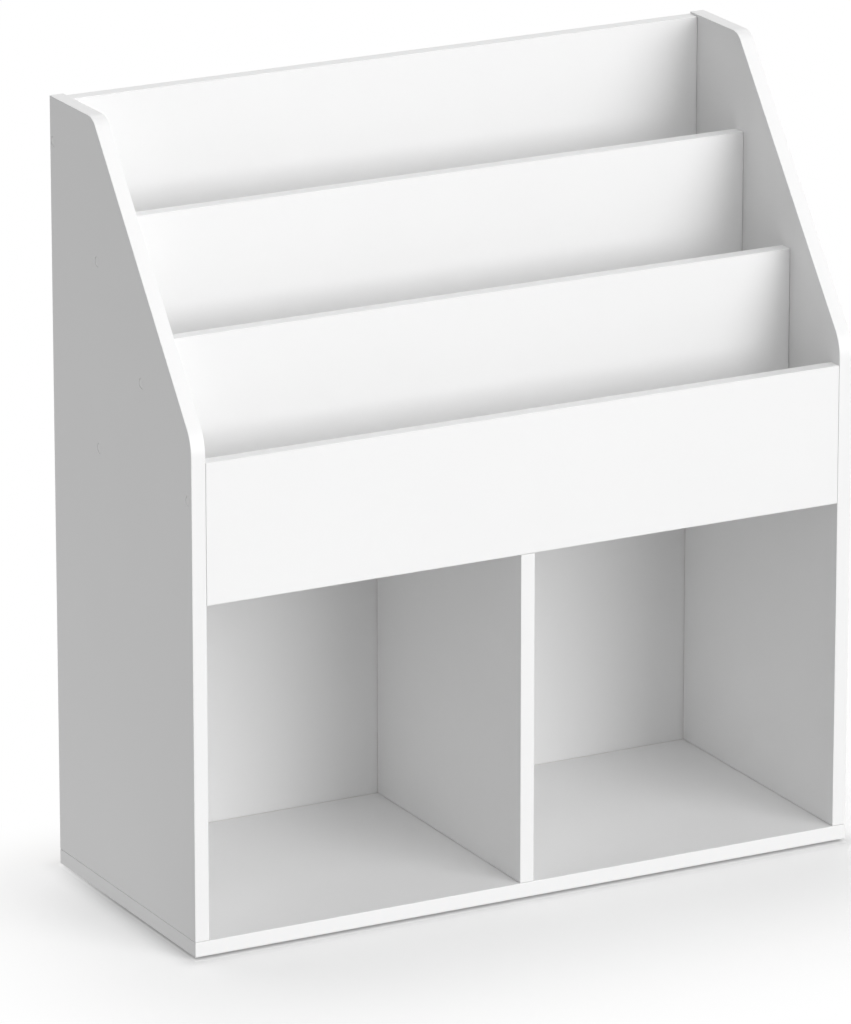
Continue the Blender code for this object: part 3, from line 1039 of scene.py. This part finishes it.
class TOYUNIT_OT_make_dowels(bpy.types.Operator):
    """Turn a fluted beech dowel for every dowel hole"""

    bl_idname = "toy_unit.make_dowels"
    bl_label = "Make Dowels"

    def execute(self, context):
        settings = context.scene.toy_unit_fittings
        places = []
        for node_name in DOWELS:
            low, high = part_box(node_name)
            centre = middle(node_name)
            if node_name.startswith("divider"):
                places.append(((centre.x, centre.y, low[Z]), (0.0, 0.0, 1.0)))
            else:
                places.append(((low[X], centre.y, centre.z), (1.0, 0.0, 0.0)))
        values = {
            "Flutes": settings.flute_count,
            "Flute Depth": settings.flute_depth,
            "Turn Steps": settings.flute_count * STEPS_PER_FLUTE,
            "Finish": beech_finish(settings),
        }
        tree = turned_tree("fluted_dowel", DOWEL_OUTLINE, fluted=True)
        attach(grown("fluted_dowels", tree, places, values), DOWELS)
        return {"FINISHED"}


class TOYUNIT_OT_make_glides(bpy.types.Operator):
    """Mould the round glides under the base"""

    bl_idname = "toy_unit.make_glides"
    bl_label = "Make Glides"

    def execute(self, context):
        settings = context.scene.toy_unit_fittings
        places = []
        for node_name in GLIDES:
            centre = middle(node_name)
            places.append(((centre.x, centre.y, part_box(node_name)[LOW][Z]), (0.0, 0.0, 1.0)))
        finish = plastic_finish("glide_plastic", settings.glide_colour, roughness=0.45)
        tree = turned_tree("round_glide", GLIDE_OUTLINE)
        attach(grown("floor_glides", tree, places, {"Finish": finish}), GLIDES)
        return {"FINISHED"}


class TOYUNIT_OT_make_sheet_nails(bpy.types.Operator):
    """Nail the sheet to the rear edges of the boards it covers"""

    bl_idname = "toy_unit.make_sheet_nails"
    bl_label = "Make Sheet Nails"

    def execute(self, context):
        settings = context.scene.toy_unit_sheet
        low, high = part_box(SHEET)
        left, right = low[X] + NAIL_ROW_INSET, high[X] - NAIL_ROW_INSET
        spots = set()
        for node_name in ("base_panel", "compartment_shelf", "rear_slot_floor"):
            height = min(middle(node_name).z, high[Z] - NAIL_TOP_INSET)
            for across in evenly(left, right, settings.nail_spacing):
                spots.add((round(across, NAIL_DIGITS), round(height, NAIL_DIGITS)))
        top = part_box("compartment_shelf")[LOW][Z] - NAIL_COLUMN_INSET
        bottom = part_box("base_panel")[HIGH][Z] + NAIL_COLUMN_INSET
        for node_name in ("left_side_panel", "centre_divider", "right_side_panel"):
            across = middle(node_name).x
            for height in evenly(bottom, top, settings.nail_spacing):
                spots.add((round(across, NAIL_DIGITS), round(height, NAIL_DIGITS)))
        places = [((across, high[Y], height), (0.0, 1.0, 0.0)) for across, height in sorted(spots)]
        finish = bpy.data.materials.get(STEEL) or steel_finish(context.scene.toy_unit_fittings)
        values = {"Turn Steps": NAIL_TURN_STEPS, "Finish": finish}
        tree = turned_tree("sheet_nail", NAIL_OUTLINE)
        attach(grown("sheet_nails", tree, places, values))
        return {"FINISHED"}


def sun(name, angles, strength):
    """A broad distant light, turned to the right of the front and raised above the floor."""
    turn, height, spread = angles
    lamp = bpy.data.lights.new(name, "SUN")
    lamp.angle = spread
    lamp.energy = strength
    towards = Vector(
        (math.sin(turn) * math.cos(height), -math.cos(turn) * math.cos(height), math.sin(height))
    )
    obj = bpy.data.objects.new(name, lamp)
    obj.rotation_mode = "QUATERNION"
    obj.rotation_quaternion = towards.to_track_quat("Z", "Y")
    bpy.context.scene.collection.objects.link(obj)


def seen_directly(wiring):
    """1 where a surface or the sky is seen by the camera, in a reflection or through glass."""
    path = wiring.node("ShaderNodeLightPath").outputs
    seen = wiring.maths("MAXIMUM", path["Is Camera Ray"], path["Is Glossy Ray"])
    return wiring.maths("MAXIMUM", seen, path["Is Transmission Ray"])


def studio_world(ambient):
    """Even light from all round, in front of a white background."""
    world = bpy.data.worlds.new("white_studio")
    world.use_nodes = True
    wiring = Wiring(world.node_tree)
    background = world.node_tree.nodes["Background"]
    background.inputs["Color"].default_value = WHITE
    strength = wiring.between(seen_directly(wiring), ambient, 1.0)
    wiring.feed(background.inputs["Strength"], strength)
    bpy.context.scene.world = world


def clear_of_unit(wiring, place, rear, reach):
    """0 on the floor under the unit, 1 at the reach beside it, before it and behind the rear line."""
    low, high = CAD_BOX
    beside, before, behind = reach
    x, y, _ = wiring.parts(place)
    steps = (
        (wiring.maths("SUBTRACT", wiring.maths("ABSOLUTE", x), high[X]), beside),
        (wiring.maths("SUBTRACT", low[Y], y), before),
        (wiring.maths("SUBTRACT", y, rear), behind),
    )
    away = wiring.node("ShaderNodeCombineXYZ")
    for socket, (distance, full) in zip(away.inputs, steps):
        wiring.feed(socket, wiring.maths("DIVIDE", wiring.maths("MAXIMUM", distance, 0.0), full))
    length = wiring.node("ShaderNodeVectorMath", {"Vector": away.outputs[0]}, operation="LENGTH")
    return wiring.fade(length.outputs["Value"], (0.0, 1.0))


def thrown_back(wiring, place, settings):
    """Strength of the light from the floor: more from close beside the unit than from elsewhere."""
    length = wiring.node("ShaderNodeVectorMath", {"Vector": place}, operation="LENGTH")
    near = wiring.maths("SUBTRACT", 1.0, wiring.fade(length.outputs["Value"], BOUNCE_FAR))
    beside = wiring.maths("MULTIPLY", near, wiring.fade(wiring.parts(place)[Y], BOUNCE_FRONT))
    return wiring.between(beside, settings.floor_bounce, settings.side_bounce)


def studio_floor(settings):
    """A wide floor that is white where it is open and keeps the shadow of the unit close to it."""
    mesh = bpy.data.meshes.new("studio_floor")
    ends = ((-1.0, -1.0), (1.0, -1.0), (1.0, 1.0), (-1.0, 1.0))
    mesh.from_pydata([(x * FLOOR_REACH, y * FLOOR_REACH, 0.0) for x, y in ends], [], [(0, 1, 2, 3)])
    floor = bpy.data.objects.new("studio_floor", mesh)
    bpy.context.scene.collection.objects.link(floor)

    material, wiring, shader = new_finish("floor_paint")
    place = wiring.node("ShaderNodeTexCoord").outputs["Object"]
    seen = seen_directly(wiring)
    white = clear_of_unit(wiring, place, 0.0, settings.shade_reach)
    rear = CAD_BOX[HIGH][Y]
    light = clear_of_unit(wiring, place, rear, CONTACT_REACH)
    outside = clear_of_unit(wiring, place, rear, BOUNCE_REACH)
    cloud = wiring.noise(place, scale=0.8, detail=2.0)
    paint = wiring.mixed(cloud, opaque(settings.floor_colour, 0.99), opaque(settings.floor_colour))
    shaded = wiring.mixed(white, paint, BLACK)
    wiring.feed(shader.inputs["Base Color"], wiring.mixed(seen, BLACK, shaded))
    shader.inputs["Roughness"].default_value = 0.9
    shader.inputs["Specular IOR Level"].default_value = 0.0
    shader.inputs["Emission Color"].default_value = WHITE
    under = wiring.maths("SUBTRACT", 1.0, outside)
    lift = wiring.maths("MULTIPLY", light, settings.floor_lift)
    lift = wiring.maths("MULTIPLY_ADD", under, settings.contact_lift, lift)
    lifted = wiring.between(white, lift, 1.0)
    bounce = wiring.maths("MULTIPLY", outside, thrown_back(wiring, place, settings))
    glow = wiring.between(seen, bounce, lifted)
    wiring.feed(shader.inputs["Emission Strength"], glow)
    mesh.materials.append(material)


def studio_camera(settings):
    """A long lens that looks at the unit from the left and a little above, as in the photograph."""
    camera = bpy.data.cameras.new("camera")
    camera.sensor_fit = "AUTO"
    camera.sensor_width = SENSOR_WIDTH
    camera.lens = settings.camera_lens
    camera.clip_end = CLIP_END
    level = math.cos(settings.camera_height)
    back = Vector(
        (
            -math.sin(settings.camera_turn) * level,
            -math.cos(settings.camera_turn) * level,
            math.sin(settings.camera_height),
        )
    )
    obj = bpy.data.objects.new("camera", camera)
    obj.location = Vector(settings.camera_aim) + back * settings.camera_distance
    obj.rotation_euler = back.to_track_quat("Z", "Y").to_euler()
    bpy.context.scene.collection.objects.link(obj)
    bpy.context.scene.camera = obj


class TOYUNIT_OT_set_stage(bpy.types.Operator):
    """Lay the floor, light the studio and place the camera"""

    bl_idname = "toy_unit.set_stage"
    bl_label = "Set Stage"

    def execute(self, context):
        settings = context.scene.toy_unit_stage
        context.scene.view_settings.view_transform = "Standard"
        studio_world(settings.ambient)
        studio_floor(settings)
        sun("key_light", settings.key_angles, settings.key_strength)
        sun("side_fill", settings.side_angles, settings.side_strength)
        sun("front_fill", settings.front_angles, settings.front_strength)
        sun("rear_fill", settings.rear_angles, settings.rear_strength)
        studio_camera(settings)
        return {"FINISHED"}


class TOYUNIT_PT_looks(bpy.types.Panel):
    """Sizes, colours and steps of the toy storage unit"""

    bl_idname = "TOYUNIT_PT_looks"
    bl_label = "Toy Storage Unit"
    bl_space_type = "VIEW_3D"
    bl_region_type = "UI"
    bl_category = "Toy Unit"

    def draw(self, context):
        for title, group_name, operators in STEPS:
            box = self.layout.box()
            box.label(text=title)
            group = getattr(context.scene, group_name)
            for field in group.__annotations__:
                box.prop(group, field)
            for operator in operators:
                box.operator(operator.bl_idname)


GROUPS = {
    "toy_unit_boards": ToyUnitBoards,
    "toy_unit_sheet": ToyUnitSheet,
    "toy_unit_fittings": ToyUnitFittings,
    "toy_unit_stage": ToyUnitStage,
}
STEPS = (
    ("Boards", "toy_unit_boards", (TOYUNIT_OT_dress_boards,)),
    (
        "Fittings",
        "toy_unit_fittings",
        (
            TOYUNIT_OT_make_screw_caps,
            TOYUNIT_OT_make_screws,
            TOYUNIT_OT_make_dowels,
            TOYUNIT_OT_make_glides,
        ),
    ),
    ("Back sheet", "toy_unit_sheet", (TOYUNIT_OT_dress_back_sheet, TOYUNIT_OT_make_sheet_nails)),
    ("Stage", "toy_unit_stage", (TOYUNIT_OT_set_stage,)),
)
OPERATORS = [operator for title, group_name, operators in STEPS for operator in operators]


def register():
    for name, group in GROUPS.items():
        bpy.utils.register_class(group)
        setattr(bpy.types.Scene, name, bpy.props.PointerProperty(type=group))
    for operator in OPERATORS:
        bpy.utils.register_class(operator)
    bpy.utils.register_class(TOYUNIT_PT_looks)


def unregister():
    bpy.utils.unregister_class(TOYUNIT_PT_looks)
    for operator in reversed(OPERATORS):
        bpy.utils.unregister_class(operator)
    for name, group in reversed(GROUPS.items()):
        delattr(bpy.types.Scene, name)
        bpy.utils.unregister_class(group)


def main():
    """Dresses the frame, adds the fittings and sets the stage."""
    register()
    bpy.ops.toy_unit.dress_boards()
    bpy.ops.toy_unit.make_screw_caps()
    bpy.ops.toy_unit.make_screws()
    bpy.ops.toy_unit.make_dowels()
    bpy.ops.toy_unit.make_glides()
    bpy.ops.toy_unit.dress_back_sheet()
    bpy.ops.toy_unit.make_sheet_nails()
    bpy.ops.toy_unit.set_stage()


if __name__ == "__main__":
    main()
